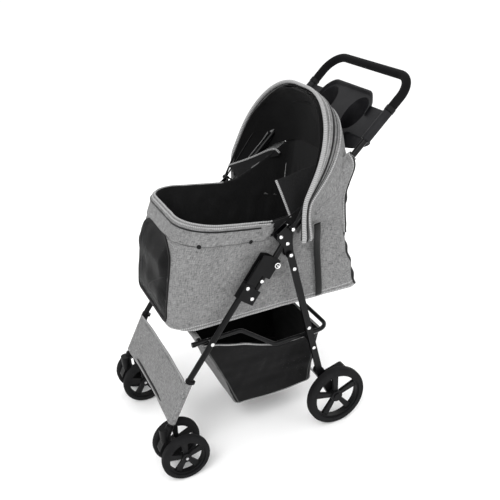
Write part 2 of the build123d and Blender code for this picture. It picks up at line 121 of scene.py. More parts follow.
def bump(tree, shader, height, strength, distance):
    node = addNode(tree, "Bump", {"Strength": strength, "Distance": distance}, {"Height": height})
    tree.links.new(node.outputs["Normal"], shader.inputs["Normal"])


def clothMaterial(name, dark, light, threadMm, slubMm, roughness, sheen, bumpMm, ramp=(0.36, 0.64)):
    # woven cloth: two sets of slubbed threads crossing, on the piece's UV in metres
    material, tree, shader = startMaterial(name, dark, roughness)
    uv = addNode(tree, "UVMap")
    sets = []
    for scale in ((1000 / threadMm, 1000 / slubMm, 1), (1000 / slubMm, 1000 / threadMm, 1)):
        mapped = addNode(tree, "Mapping", {"Scale": scale}, {"Vector": uv.outputs["UV"]})
        threads = addNode(
            tree, "TexNoise", {"Scale": 1.0, "Detail": 3.0, "Roughness": 0.65},
            {"Vector": mapped.outputs["Vector"]},
        )
        sets.append(threads.outputs["Fac"])
    woven = addNode(tree, "Math", {"operation": "ADD"}, {0: sets[0], 1: sets[1]})
    mean = addNode(tree, "Math", {"operation": "MULTIPLY", 1: 0.5}, {0: woven.outputs[0]})
    blotch = addNode(tree, "TexNoise", {"Scale": 22.0, "Detail": 2.0}, {"Vector": uv.outputs["UV"]})
    shade = addNode(
        tree, "Math", {"operation": "MULTIPLY_ADD", 1: 0.08, 2: -0.04}, {0: blotch.outputs["Fac"]}
    )
    total = addNode(tree, "Math", {"operation": "ADD"}, {0: mean.outputs[0], 1: shade.outputs[0]})
    tree.links.new(stops(tree, total.outputs[0], *ramp, dark, light), shader.inputs["Base Color"])
    bump(tree, shader, woven.outputs[0], 0.5, bumpMm / 1000)
    shader.inputs["Sheen Weight"].default_value = sheen
    shader.inputs["Sheen Roughness"].default_value = 0.6
    return material


def plasticMaterial(name, colour, worn, roughness, grainMm, bumpMm, coat=0.0):
    # moulded or coated surface: fine grain on Object coordinates in metres, and a little uneven gloss
    material, tree, shader = startMaterial(name, colour, roughness)
    place = addNode(tree, "TexCoord").outputs["Object"]
    grain = addNode(tree, "TexNoise", {"Scale": 1000 / grainMm, "Detail": 2.0}, {"Vector": place})
    broad = addNode(tree, "TexNoise", {"Scale": 25.0, "Detail": 3.0}, {"Vector": place})
    tree.links.new(stops(tree, broad.outputs["Fac"], 0.35, 0.7, colour, worn), shader.inputs["Base Color"])
    gloss = addNode(
        tree, "MapRange", {"To Min": roughness - 0.06, "To Max": roughness + 0.08},
        {"Value": broad.outputs["Fac"]},
    )
    tree.links.new(gloss.outputs["Result"], shader.inputs["Roughness"])
    bump(tree, shader, grain.outputs["Fac"], 0.35, bumpMm / 1000)
    shader.inputs["Coat Weight"].default_value = coat
    shader.inputs["Coat Roughness"].default_value = 0.25
    return material


def ribbedMaterial(name, dark, light, ribMm, roughness, bumpMm):
    # tape, zip or webbing: ribs square to its length, which runs along V in metres
    material, tree, shader = startMaterial(name, dark, roughness)
    uv = addNode(tree, "UVMap")
    ribs = addNode(
        tree, "TexWave",
        {"Scale": 1000 / ribMm / 6.283, "Distortion": 0.6, "Detail": 1.0, "bands_direction": "Y"},
        {"Vector": uv.outputs["UV"]},
    )
    tree.links.new(stops(tree, ribs.outputs["Fac"], 0.2, 0.8, dark, light), shader.inputs["Base Color"])
    bump(tree, shader, ribs.outputs["Fac"], 0.6, bumpMm / 1000)
    shader.inputs["Sheen Weight"].default_value = 0.2
    return material


def steelMaterial(name, colour, roughness, brushMm):
    material, tree, shader = startMaterial(name, colour, roughness, 1.0)
    place = addNode(tree, "TexCoord").outputs["Object"]
    mapped = addNode(tree, "Mapping", {"Scale": (40, 1000 / brushMm, 1000 / brushMm)}, {"Vector": place})
    lines = addNode(tree, "TexNoise", {"Scale": 1.0, "Detail": 2.0}, {"Vector": mapped.outputs["Vector"]})
    gloss = addNode(
        tree, "MapRange", {"To Min": roughness - 0.08, "To Max": roughness + 0.12},
        {"Value": lines.outputs["Fac"]},
    )
    tree.links.new(gloss.outputs["Result"], shader.inputs["Roughness"])
    return material


def meshMaterial(name, colour, holeMm, openShare):
    # knitted mesh: round holes on the piece's UV, drawn coarser than the real 1.2 mm so that they show
    material, tree, shader = startMaterial(name, colour, 0.7)
    uv = addNode(tree, "UVMap")
    cells = addNode(
        tree, "TexVoronoi", {"Scale": 1000 / holeMm, "Randomness": 0.15}, {"Vector": uv.outputs["UV"]}
    )
    thread = addNode(
        tree, "MapRange", {"From Min": openShare - 0.05, "From Max": openShare + 0.05},
        {"Value": cells.outputs["Distance"]},
    )
    tree.links.new(thread.outputs["Result"], shader.inputs["Alpha"])
    bump(tree, shader, cells.outputs["Distance"], 0.4, 0.0004)
    shader.inputs["Sheen Weight"].default_value = 0.05
    return material


linen = clothMaterial("woven polyester linen-look grey", "#444444", "#8d8d8d", 1.9, 15, 0.9, 0.1, 0.5)
linenDark = clothMaterial("woven polyester linen-look shaded", "#393939", "#7a7a7a", 1.9, 15, 0.9, 0.1, 0.5)
lining = clothMaterial("black woven polyester lining", "#080808", "#1c1c1d", 1.6, 5, 0.85, 0.05, 0.3)
knit = clothMaterial("black knitted mesh cloth", "#040404", "#101011", 1.8, 2.4, 0.88, 0.04, 0.4)
windowKnit = meshMaterial("black knitted window mesh", "#0a0a0b", 2.4, 0.24)
basketKnit = meshMaterial("black knitted basket mesh", "#060607", 2.4, 0.12)
pipingTape = ribbedMaterial("grey woven piping tape", "#747474", "#a6a6a6", 2.4, 0.85, 0.25)
# dark grey tape for seams and bindings; on the flap's lower edge its dark is painted shadow under the flap
darkTapeAndFlapShadow = ribbedMaterial("dark grey binding tape, also painted flap shadow", "#2e2e2e", "#484848", 2.4, 0.85, 0.25)
zipCoil = ribbedMaterial("black nylon zip coil", "#040404", "#121213", 2.2, 0.5, 0.5)
webbing = ribbedMaterial("black polypropylene webbing", "#020202", "#080808", 1.6, 0.75, 0.3)
coatedSteel = plasticMaterial("satin black powder-coated steel", "#040405", "#080809", 0.32, 0.7, 0.02, 0.1)
zincSteel = steelMaterial("bright zinc-plated steel", "#e2e2e2", 0.2, 0.3)
pinSteel = steelMaterial("turned steel pin", "#b9b9ba", 0.32, 0.3)
blackNylon = plasticMaterial("moulded black nylon", "#080809", "#0f0f10", 0.44, 0.6, 0.04)
trayPlastic = plasticMaterial("moulded charcoal PP", "#161618", "#202022", 0.52, 0.7, 0.06)
rimPlastic = plasticMaterial("moulded black PP wheel", "#0e0e0f", "#161617", 0.48, 0.8, 0.05)
tyreEva = plasticMaterial("moulded EVA tyre", "#131314", "#1a1a1b", 0.82, 1.1, 0.12)
gripFoam = plasticMaterial("closed-cell grip foam", "#070708", "#0e0e0f", 0.88, 1.3, 0.2)
boardPlastic = plasticMaterial("sheet HDPE board", "#19191a", "#222223", 0.6, 0.8, 0.04)
snapNylon = plasticMaterial("moulded black snap", "#0a0a0b", "#111112", 0.3, 0.6, 0.02)

slotFinish = {
    "coated_steel": coatedSteel, "rivet_zinc": zincSteel, "black_nylon": blackNylon, "tray_pp": trayPlastic,
    "rim_pp": rimPlastic, "tyre_eva": tyreEva, "grip_foam": gripFoam, "linen_grey": linen, "mesh_black": knit,
    "basket_mesh": knit, "floor_hdpe": boardPlastic, "pad_fleece": lining,
}
for part in frame["record"]["subparts"]:
    node = cadNodes[part["node"]]
    node.data.materials.clear()
    node.data.materials.append(slotFinish[part["material_slot"]])
for name in ("caster_axle_left", "caster_axle_right", "rear_axle"):
    cadNodes[name].data.materials[0] = pinSteel
print("materials on CAD nodes")

# helpers for shapes


def unit(vectors):
    return vectors / np.maximum(np.linalg.norm(vectors, axis=-1, keepdims=True), 1e-12)


def smooth(x):
    x = np.clip(x, 0, 1)
    return x * x * (3 - 2 * x)


def resample(points, count):
    # evenly spaced points along a rounded polyline: corners cut twice by a quarter, then equal arc length
    p = np.asarray(points, float)
    for _ in range(3):
        q = np.empty((2 * len(p), p.shape[1]))
        q[0], q[-1] = p[0], p[-1]
        q[1:-1:2] = 0.75 * p[:-1] + 0.25 * p[1:]
        q[2:-1:2] = 0.25 * p[:-1] + 0.75 * p[1:]
        p = q
    run = np.concatenate([[0], np.cumsum(np.linalg.norm(np.diff(p, axis=0), axis=1))])
    at = np.linspace(0, run[-1], count)
    return np.stack([np.interp(at, run, p[:, k]) for k in range(p.shape[1])], axis=1)


def folds(u, v, seed, length, stretch=(1.0, 1.0)):
    # sum of random plane waves about that long in metres, near -1 to 1
    rng = np.random.default_rng(seed)
    total = 0
    for _ in range(9):
        turn, phase = rng.uniform(0, math.pi), rng.uniform(0, 2 * math.pi)
        k = 2 * math.pi / (length * rng.uniform(0.7, 1.6))
        along = u * stretch[0] * math.cos(turn) + v * stretch[1] * math.sin(turn)
        total = total + np.cos(k * along + phase)
    return total / 4.0


def surface(name, points, uv, wrap=False, keep=None, kinds=None, materials=(), thickness=0.0, flip=False):
    # a grid of points (rows, columns) made a mesh of quads. keep drops faces, and kinds picks each
    # face's material
    rows, cols = points.shape[:2]
    spans = cols if wrap else cols - 1
    i, j = (a.ravel() for a in np.meshgrid(np.arange(rows - 1), np.arange(spans), indexing="ij"))
    if keep is not None:
        i, j = i[keep.ravel()], j[keep.ravel()]
    ring = [(i, j), (i, j + 1), (i + 1, j + 1), (i + 1, j)]
    ring = ring[::-1] if flip else ring
    corner = np.stack([a * cols + b % cols for a, b in ring], axis=1)
    corner_uv = np.stack([a * uv.shape[1] + b for a, b in ring], axis=1)
    used, corner = np.unique(corner, return_inverse=True)
    corner = corner.reshape(-1, 4)
    data = bpy.data.meshes.new(name)
    data.from_pydata(points.reshape(-1, 3)[used].tolist(), [], corner.tolist())
    layer = data.uv_layers.new(name="UVMap")
    layer.data.foreach_set("uv", uv.reshape(-1, 2)[corner_uv.ravel()].astype(np.float32).ravel())
    data.polygons.foreach_set("use_smooth", np.ones(len(corner), bool))
    for material in materials:
        data.materials.append(material)
    if kinds is not None:
        chosen = kinds.ravel()[keep.ravel()] if keep is not None else kinds.ravel()
        data.polygons.foreach_set("material_index", chosen.astype(np.int32))
    data.update()
    made = bpy.data.objects.new(name, data)
    bpy.context.scene.collection.objects.link(made)
    if thickness:
        wall = made.modifiers.new("thickness", "SOLIDIFY")
        wall.thickness, wall.offset = thickness, -1
    return made


def gridUv(points, wrap=False):
    # U and V are distances in metres along the middle row and each column
    p = np.concatenate([points, points[:, :1]], axis=1) if wrap else points
    across = np.concatenate([[0], np.cumsum(np.linalg.norm(np.diff(p[len(p) // 2], axis=0), axis=1))])
    steps = np.linalg.norm(np.diff(p, axis=0), axis=2)
    up = np.concatenate([np.zeros((1, p.shape[1])), np.cumsum(steps, axis=0)])
    return np.stack([np.broadcast_to(across, up.shape), up], axis=2)


def sheetSurface(name, points, material, thickness=0.0016, wrap=False, flip=False, **more):
    return surface(name, points, gridUv(points, wrap), wrap=wrap, materials=[material], thickness=thickness,
                   flip=flip, **more)


def oval(width, height, count=12):
    a = np.linspace(0, 2 * math.pi, count, endpoint=False)
    return np.stack([width / 2 * np.cos(a), height / 2 * np.sin(a)], axis=1)


def carried(name, path, profile, up, material, closed=False):
    # a closed profile (side, lift) carried along a path, with up giving the lift direction
    path, up = np.asarray(path, float), np.broadcast_to(np.asarray(up, float), np.shape(path))
    ahead = np.roll(path, -1, 0) - np.roll(path, 1, 0) if closed else np.gradient(path, axis=0)
    ahead = unit(ahead)
    side = unit(np.cross(ahead, up))
    lift = np.cross(side, ahead)
    points = path[:, None] + profile[None, :, :1] * side[:, None] + profile[None, :, 1:] * lift[:, None]
    n, k = points.shape[:2]
    length = np.concatenate([[0], np.cumsum(np.linalg.norm(np.diff(path, axis=0), axis=1))])
    girth = np.linalg.norm(np.diff(np.concatenate([profile, profile[:1]]), axis=0), axis=1)
    girth = np.concatenate([[0], np.cumsum(girth)])
    if closed:
        length = np.append(length, length[-1] + np.linalg.norm(path[0] - path[-1]))
        points = np.concatenate([points, points[:1]])
    uv = np.stack(np.broadcast_arrays(girth[None, :], length[:, None]), axis=2)
    made = surface(name, points, uv, wrap=True, materials=[material])
    body = bmesh.new()
    body.from_mesh(made.data)
    bmesh.ops.remove_doubles(body, verts=body.verts, dist=1e-6)
    if not closed:
        bmesh.ops.holes_fill(body, edges=[e for e in body.edges if e.is_boundary], sides=0)
    bmesh.ops.recalc_face_normals(body, faces=body.faces)
    body.to_mesh(made.data)
    body.free()
    return made


def dome(name, at, outward, radius, height, material):
    # a round button: a quarter-circle crown turned about outward, closed by its flat back
    a = np.linspace(0, math.pi / 2, 7)
    r, h = radius * np.sin(a) ** 0.8, height * np.cos(a)
    r, h = np.append(r, radius), np.append(h, -0.001)
    turn = np.linspace(0, 2 * math.pi, 24, endpoint=False)
    out = np.asarray(outward, float)
    one = unit(np.cross(out, [0.1, 0.2, 1.0]))
    two = np.cross(out, one)
    ring = np.cos(turn)[:, None] * one + np.sin(turn)[:, None] * two
    points = np.asarray(at) + r[:, None, None] * ring[None] + h[:, None, None] * out
    uv = np.zeros((len(r), len(turn) + 1, 2))
    made = surface(name, points, uv, wrap=True, materials=[material])
    body = bmesh.new()
    body.from_mesh(made.data)
    bmesh.ops.remove_doubles(body, verts=body.verts, dist=1e-6)
    bmesh.ops.holes_fill(body, edges=[e for e in body.edges if e.is_boundary], sides=0)
    bmesh.ops.recalc_face_normals(body, faces=body.faces)
    body.to_mesh(made.data)
    body.free()
    return made


def place(piece, body, slot, squashed=None):
    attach(piece, body)
    if squashed:
        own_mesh(piece)
    return piece


def millimetres(*points):
    return np.array(points, float) / 1000


def mirrored(points):
    return points * np.array([-1.0, 1, 1])


# tubs: the carrier bag and the basket


def planLoop(yFront, yRear, half, frontRadius, rearRadius, counts):
    # one ring per row, from the rear middle round the +x side and the front and back on the -x side:
    # straight runs and quarter-circle corners, each sampled evenly
    nRear, nCorner, nSide, nRound, nFront = counts
    run = lambda n: np.arange(n)[None, :] / n
    quarter = math.pi / 2
    rearX, rearY = run(nRear) * (half - rearRadius), yRear + 0 * run(nRear)
    a = run(nCorner) * quarter
    cornerX, cornerY = half - rearRadius + rearRadius * np.sin(a), yRear - rearRadius + rearRadius * np.cos(a)
    sideY = yRear - rearRadius + run(nSide) * (yFront + frontRadius - yRear + rearRadius)
    sideX = half + 0 * run(nSide)
    b = run(nRound) * quarter
    roundX = half - frontRadius + frontRadius * np.cos(b)
    roundY = yFront + frontRadius - frontRadius * np.sin(b)
    c = np.arange(nFront + 1)[None, :] / nFront
    frontX, frontY = (half - frontRadius) * (1 - c), yFront + 0 * c
    x = np.concatenate([rearX, cornerX, sideX, roundX, frontX], axis=1)
    y = np.concatenate([rearY, cornerY, sideY, roundY, frontY], axis=1)
    x = np.concatenate([x, -x[:, -2:0:-1]], axis=1)
    y = np.concatenate([y, y[:, -2:0:-1]], axis=1)
    return x, y


def tub(spec, rows, out=0.0, tFrom=0.0, tTo=1.0):
    # points and outward directions of a tub's wall, out metres beyond its skin, between two shares of
    # its height
    t = np.linspace(tFrom, tTo, rows)[:, None]
    front, rear = millimetres(*spec["front"]), millimetres(*spec["rear"])
    top, bottom = millimetres(*spec["top"]), millimetres(*spec["bottom"])
    frontTop, frontLow, rearTop, rearLow = top[0, 1], bottom[0, 1], top[-1, 1], bottom[-1, 1]
    yFront = np.interp(frontLow + (frontTop - frontLow) * t, front[:, 1], front[:, 0]) - out
    yRear = np.interp(rearLow + (rearTop - rearLow) * t, rear[:, 1], rear[:, 0]) + out
    half = np.interp(t, [0, 1], spec["half"]) / 1000 + out
    frontRadius = np.interp(t, [0, 1], spec["frontRadius"]) / 1000 + out
    rearRadius = spec["rearRadius"] / 1000 + out
    x, y = planLoop(yFront, yRear, half, frontRadius, rearRadius, spec["counts"])
    share = (y - yFront) / (yRear - yFront)
    low = np.interp(share, *spreadOf(bottom))
    high = np.interp(share, *spreadOf(top))
    z = low + (high - low) * t
    points = np.stack([x, y, z], axis=2)
    ahead = np.roll(points, -1, 1) - np.roll(points, 1, 1)
    rise = np.gradient(points, axis=0) if rows > 1 else np.broadcast_to([0, 0, 1.0], points.shape)
    outward = unit(np.cross(rise, ahead))
    facing = np.sign(np.sum(outward[:, :1] * [0, 1, 0], axis=2, keepdims=True))
    return points, outward * np.where(facing == 0, 1, facing)


def spreadOf(edge):
    # share of the way to the rear, and height, along an edge given in metres
    return (edge[:, 0] - edge[0, 0]) / (edge[-1, 0] - edge[0, 0]), edge[:, 1]


def nearest(points, wanted):
    # column of each wanted (y) on the +x side of a tub's ring
    half = points.shape[0] // 2
    return int(np.argmin(np.abs(points[:half, 1] - wanted) + 10 * (points[:half, 0] < 0.1)))


bag = {
    "front": [
        (-284, 399), (-309, 412), (-313, 425), (-309, 460),
        (-305, 483), (-291, 575), (-269, 625), (-241, 689),
    ],
    "rear": [(240, 385), (232, 420), (222, 470), (206, 540), (203, 580), (205, 620), (212, 660), (229, 748)],
    "top": [(-241, 689), (-130, 668), (-16, 649), (34, 652), (120, 690), (229, 748)],
    "bottom": [(-284, 399), (-20, 393), (240, 385)],
    "half": [160, 165],
    "frontRadius": [48, 92],
    "rearRadius": 24,
    "counts": (26, 8, 84, 20, 22),
}


def bagRelief(points):
    # soft swell of the panels and their creases, in metres along the outward direction
    x, y, z = points[..., 0], points[..., 1], points[..., 2]
    sides = smooth((np.abs(x) - 0.12) / 0.04)
    height = np.clip((z - 0.39) / 0.27, 0, 1)
    relief = 0.004 * np.sin(math.pi * height) * sides
    relief += 0.0012 * folds(y, z, 3, 0.11, (1.6, 0.7)) + 0.0005 * folds(y + x, z, 5, 0.035)
    behindLatch = np.exp(-(((y - 0.02) / 0.06) ** 2 + ((z - 0.50) / 0.06) ** 2))
    relief += 0.0022 * behindLatch * np.sin((0.55 * y + z) * 2 * math.pi / 0.034)
    frontTuck = np.exp(-(((y + 0.20) / 0.03) ** 2 + ((z - 0.585) / 0.03) ** 2)) * sides
    relief += 0.002 * frontTuck * np.sin(y * 2 * math.pi / 0.022)
    rearPull = smooth((y - 0.13) / 0.08)
    relief += 0.0022 * rearPull * np.sin((z + 0.4 * y) * 2 * math.pi / 0.075) * sides
    return relief


def seamDip(points, at, width=0.0022, depth=0.0016):
    # a sewn seam: a shallow groove down the sides at that y
    return -depth * np.exp(-(((points[..., 1] - at) / width) ** 2)) * (np.abs(points[..., 0]) > 0.13)


window = {"half": 122, "low": 424, "high": 640, "shoulder": 560, "power": 2.4}


def windowInside(points, grow=0.0):
    # inside the arch: straight sides up to the shoulder and a superellipse over it
    x, z = np.abs(points[..., 0]), points[..., 2]
    half, low = window["half"] / 1000 + grow, window["low"] / 1000 - grow
    shoulder, high = window["shoulder"] / 1000, window["high"] / 1000 + grow
    over = np.clip((z - shoulder) / (high - shoulder), 0, 1)
    limit = half * (1 - over ** window["power"]) ** (1 / window["power"])
    return (points[..., 1] < -0.2) & (x < limit) & (z > low) & (z < high)


def faceCentres(points):
    wrapped = np.concatenate([points, points[:, :1]], axis=1)
    return (wrapped[:-1, :-1] + wrapped[1:, :-1] + wrapped[:-1, 1:] + wrapped[1:, 1:]) / 4


legLine = {"axis": (0, 0.775, -0.632), "anchor": (0, -0.142, 0.462), "keep": 0.15}

wall, out = tub(bag, 72)
skin = wall + (bagRelief(wall) + seamDip(wall, -0.034))[..., None] * out
centres = faceCentres(skin)
notch = np.maximum(np.abs(centres[..., 1] - 0.016) - 0.026, 0)
gapFill = (np.abs(centres[..., 0]) > 0.15) & (centres[..., 2] > 0.602 + 1.1 * notch) & (notch < 0.04)
bagShell = surface(
    "bagShell", skin, gridUv(skin, True), wrap=True, keep=~windowInside(centres), kinds=gapFill,
    materials=[linen, lining], thickness=0.0018,
)
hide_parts("carrier_bag", "rim_frame", "floor_board")
place(bagShell, "front_frame", "linen_grey", legLine)

inner, innerOut = tub(bag, 60, out=-0.005, tFrom=0.02)
x, y, z = inner[..., 0], inner[..., 1], inner[..., 2]
depth = smooth((0.70 - z) / 0.1)
loose = 0.004 * depth * folds(y * 1.7 + x, z * 0.6, 11, 0.07) + 0.003 * depth * folds(y + x * 2, z, 12, 0.04)
inner = inner + (np.minimum(loose, 0.001) - 0.001)[..., None] * innerOut
bagLining = surface(
    "bagLining", inner, gridUv(inner, True), wrap=True, keep=~windowInside(faceCentres(inner)),
    materials=[lining], thickness=0.001,
)
place(bagLining, "front_frame", "mesh_black", legLine)


def flooring(name, ring, lift, material, slot, squashed, body):
    # a sheet across a tub from one side of its lowest ring to the other
    half = len(ring) // 2 + 1
    left = ring[:half]
    right = mirrored(left)
    across = np.linspace(0, 1, 15)[:, None, None]
    sheet = left[None] * (1 - across) + right[None] * across + np.array([0, 0, lift])
    sheet[..., 2] -= 0.004 * (np.sin(math.pi * np.linspace(0, 1, 15)) ** 0.5)[:, None]
    return place(sheetSurface(name, sheet, material, 0.0015, flip=True), body, slot, squashed)


flooring("bagUnderside", tub(bag, 2)[0][0], 0.003, linenDark, "linen_grey", legLine, "front_frame")

# rim flap: a second layer of linen round the rim, cut to a round end at each side
flap = {"rearEnd": -0.010, "rounding": 0.05, "taper": 0.042}
flapWall, flapOut = tub(bag, 40, out=0.0042, tFrom=0.83, tTo=0.985)
flapSkin = flapWall + bagRelief(flapWall)[..., None] * flapOut
flapFolds = 0.0012 * folds(flapWall[..., 1] + flapWall[..., 0], flapWall[..., 2], 21, 0.06)
flapSkin += flapFolds[..., None] * flapOut
c = faceCentres(flapSkin)
rimZ = np.interp(c[..., 1], [-0.241, -0.016, 0.034], [0.689, 0.649, 0.652])
drop = rimZ - c[..., 2]
rearCut = flap["rearEnd"] - flap["taper"] * (np.clip(drop / flap["rounding"], 0, 1) ** 3)
flapKeep = c[..., 1] < rearCut
rimFlap = surface("rimFlap", flapSkin, gridUv(flapSkin, True), wrap=True, keep=flapKeep, materials=[linen],
                  thickness=0.0012)
place(rimFlap, "front_frame", "linen_grey", legLine)
print("bag shell, lining and rim flap")


def ringAt(spec, t, out=0.0, relief=None):
    # one closed ring of a tub at a share of its height
    points, outward = tub(spec, 3, out=out, tFrom=t - 0.004, tTo=t + 0.004)
    ring = points[1] + ((relief(points[1])[:, None] * outward[1]) if relief else 0)
    return ring, outward[1]


def between(ring, outward, rearY):
    # the part of a ring ahead of rearY, from the +x side round the front to the -x side
    inside = np.nonzero(ring[:, 1] < rearY)[0]
    return ring[inside[0]:inside[-1] + 1], outward[inside[0]:inside[-1] + 1]


for name, t, rowOut, width, material, rear in (
    ("rimPipingInner", 0.999, -0.002, 0.0062, pipingTape, -0.010),
    ("rimPipingOuter", 0.985, 0.0030, 0.0052, pipingTape, -0.012),
    ("rimZip", 0.958, 0.0060, 0.0046, zipCoil, -0.045),
):
    ring, ringOut = between(*ringAt(bag, t, rowOut, bagRelief), rear)
    piping = carried(name, ring, oval(width, width * 0.85), ringOut, material)
    place(piping, "front_frame", "linen_grey", legLine)
ring, ringOut = between(*ringAt(bag, 0.992, 0.0008, bagRelief), -0.010)
rimSeam = carried("rimSeam", ring, oval(0.0034, 0.0022), ringOut, darkTapeAndFlapShadow)
place(rimSeam, "front_frame", "linen_grey", legLine)
for name, t, rowOut, width in (
    ("hemPipingLow", 0.010, 0.0012, 0.0058), ("hemPipingHigh", 0.045, 0.0006, 0.0042),
):
    ring, ringOut = ringAt(bag, t, rowOut, bagRelief)
    piping = carried(name, ring, oval(width, width), ringOut, pipingTape, closed=True)
    place(piping, "front_frame", "linen_grey", legLine)

# turned lower edge of the flap, drawn as a dark tape: the dark is painted shadow under the flap
ring, ringOut = between(*ringAt(bag, 0.829, 0.0036, bagRelief), -0.050)
flapEdgeShadow = carried("flapEdgeShadow", ring, oval(0.0026, 0.0026), ringOut, darkTapeAndFlapShadow)
place(flapEdgeShadow, "front_frame", "linen_grey", legLine)

# snaps on the flap, mirrored on the far side
snapSpots = [(-0.200, 0.630), (-0.066, 0.606)]
for number, (ySnap, zSnap) in enumerate(snapSpots):
    column = nearest(flapSkin[20], ySnap)
    row = int(np.argmin(np.abs(flapSkin[:, column, 2] - zSnap)))
    at, facing = flapSkin[row, column], flapOut[row, column]
    for side, word in ((1, "left"), (-1, "right")):
        turned = np.array([side, 1, 1])
        button = dome(f"rimSnap{number}_{word}", at * turned, facing * turned, 0.0062, 0.0026, snapNylon)
        place(button, "front_frame", "black_nylon", legLine)

# front window
windowPatch, patchOut = tub(bag, 60, out=0.001, tFrom=0.07, tTo=0.86)
wx, wz = windowPatch[..., 0], windowPatch[..., 2]
lobes = np.exp(-((wz - 0.575) / 0.035) ** 2) + 1.1 * np.exp(-((wz - 0.49) / 0.04) ** 2)
rimFade = smooth((window["half"] / 1000 - np.abs(wx)) / 0.04) * smooth((0.632 - wz) / 0.03)
rimFade = rimFade * smooth((wz - 0.43) / 0.03)
puff = 0.010 * lobes * rimFade + 0.001 * folds(wx, wz, 31, 0.06)
windowSkin = windowPatch + puff[..., None] * patchOut
keep = windowInside(faceCentres(windowPatch), 0.004)
windowPanel = surface("windowPanel", windowSkin, gridUv(windowSkin, True), wrap=True, keep=keep,
                      materials=[windowKnit])
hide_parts("window_mesh")
place(windowPanel, "front_frame", "mesh_black", legLine)


def onFront(xz, out=0.0, rows=140):
    # points of the bag's front skin at given x and z, out metres proud of it
    grid, _ = tub(bag, rows, out=out)
    flat = grid.reshape(-1, 3)
    flat = flat[flat[:, 1] < -0.15]
    found = np.argmin((flat[None, :, 0] - xz[:, :1]) ** 2 + (flat[None, :, 2] - xz[:, 1:]) ** 2, axis=1)
    return np.stack([xz[:, 0], flat[found, 1], xz[:, 1]], axis=1)


half, low, shoulder, high = (window[k] / 1000 for k in ("half", "low", "shoulder", "high"))
arc = np.linspace(0, math.pi / 2, 28)
p = 2 / window["power"]
archX, archZ = half * np.cos(arc) ** p, shoulder + (high - shoulder) * np.sin(arc) ** p
oneSide = np.concatenate([[[half * s, low] for s in np.linspace(0, 0.96, 14)],
                          [[half, z] for z in np.linspace(low + 0.004, shoulder, 14)],
                          np.stack([archX, archZ], axis=1)[1:]])
outlineXz = np.concatenate([oneSide, (oneSide * [-1, 1])[-2:0:-1]])
path = onFront(outlineXz, 0.0018)
kernel = np.array([0.25, 0.5, 0.25])
for _ in range(3):
    path = sum(w * np.roll(path, s, 0) for w, s in zip(kernel, (-1, 0, 1)))
windowBinding = carried("windowBinding", path, oval(0.0125, 0.0040), (0, -1, 0.15), knit, closed=True)
place(windowBinding, "front_frame", "mesh_black", legLine)
print("window")

# straps, seams and the rear edge of the bag


strapPath = resample(millimetres(
    (205.5, 97, 632), (202, 99, 612), (194, 102, 590), (184, 105, 560), (177.5, 108, 520), (175.5, 110, 470),
    (172.5, 112, 420), (167.5, 113, 396),
), 60)
strapFlat = oval(0.0200, 0.0030)
for side, word in ((1, "left"), (-1, "right")):
    turned = np.array([side, 1, 1])
    strap = carried(f"sideStrap_{word}", strapPath * turned, strapFlat, (side, 0, 0), webbing)
    place(strap, "front_frame", "mesh_black", legLine)
    rows = np.linspace(0.01, 0.985, 50)
    edge = np.array([tub(bag, 2, out=0.001, tFrom=t, tTo=t + 0.001)[0][0, 30] for t in rows]) * turned
    for name, shift, width, material in (
        ("rearZip", 0.003, 0.0100, zipCoil), ("rearEdgePiping", -0.012, 0.0036, pipingTape),
    ):
        line = edge + np.array([0.002 * side if shift < 0 else 0, shift, 0])
        line[:, 1] += (shift > 0) * 0.0022 * np.sin(line[:, 2] * 2 * math.pi / 0.046)
        place(carried(f"{name}_{word}", line, oval(width, width), (side, 0, 0), material), "front_frame",
              "linen_grey", legLine)
print("straps and edges")

# hood: one curved sheet folded back from the front hoop
hood = {
    "pivot": (18.6, 642.0), "tip": (46, 600),   # canopy pivot and the lower tip behind the joint plate
    "tipRange": 0.085, "footMost": 16, "footStep": 0.0016,   # metres, degrees, metres for each degree
    "seams": (58.8, 55.5, 52.5, 49.5), "sagFrom": 48, "sagOver": 20,   # degrees
    # angle above horizontal, reach from the pivot, corner radius, half width
    "arches": [
        (62.5, 331, 197, 226), (60, 334, 198, 228.5), (57.5, 332, 196, 229), (54.5, 326, 191, 228.5),
        (51, 319, 187, 228), (47, 306, 174, 226), (40, 281, 142, 221), (33, 259, 120, 218),
        (27, 241, 105, 214),
    ],
}


def archCurve(angle, reach, corner, half, count=46):
    # half an arch from its foot to the crown: straight leg, quarter-circle corner, straight top, in metres
    angle = math.radians(angle)
    corner, reach, half = corner / 1000, reach / 1000, half / 1000
    leg, bend, flat = reach - corner, corner * math.pi / 2, half - corner
    s = np.linspace(0, 1, count) * (leg + bend + flat)
    onBend = np.clip((s - leg) / bend, 0, 1) * math.pi / 2
    r = np.minimum(s, leg) + corner * np.sin(onBend)
    x = half - corner + corner * np.cos(onBend) - np.clip(s - leg - bend, 0, flat)
    pivot, foot = np.array(hood["pivot"]) / 1000, np.array(hood["tip"]) / 1000
    # the arches behind the hem stand in a row at the tip
    foot = foot + np.array([min(60 - math.degrees(angle), hood["footMost"]) * hood["footStep"], 0])
    radial = pivot + r[:, None] * np.array([math.cos(angle), math.sin(angle)])
    pull = (1 - smooth(r / hood["tipRange"]))[:, None]
    yz = radial * (1 - pull) + (foot + (radial - pivot) * 0.6) * pull
    return np.column_stack([x, yz])


def wholeArch(halfCurve):
    return np.concatenate([halfCurve, mirrored(halfCurve)[-2::-1]])


def archNormal(curve):
    # outward from the cabin: square to the arch within its own plane
    ahead = unit(np.gradient(curve, axis=0))
    spoke = unit(np.array([0.0, 0.16, 0.80]) - np.array([0, 0.0186, 0.642]))
    across = unit(np.cross(ahead, np.cross([1.0, 0, 0], spoke)))
    centre = np.array([0, 0.10, 0.72])
    facing = np.sign(np.sum(across * (curve - centre), axis=1, keepdims=True))
    return across * np.where(facing == 0, 1, facing)


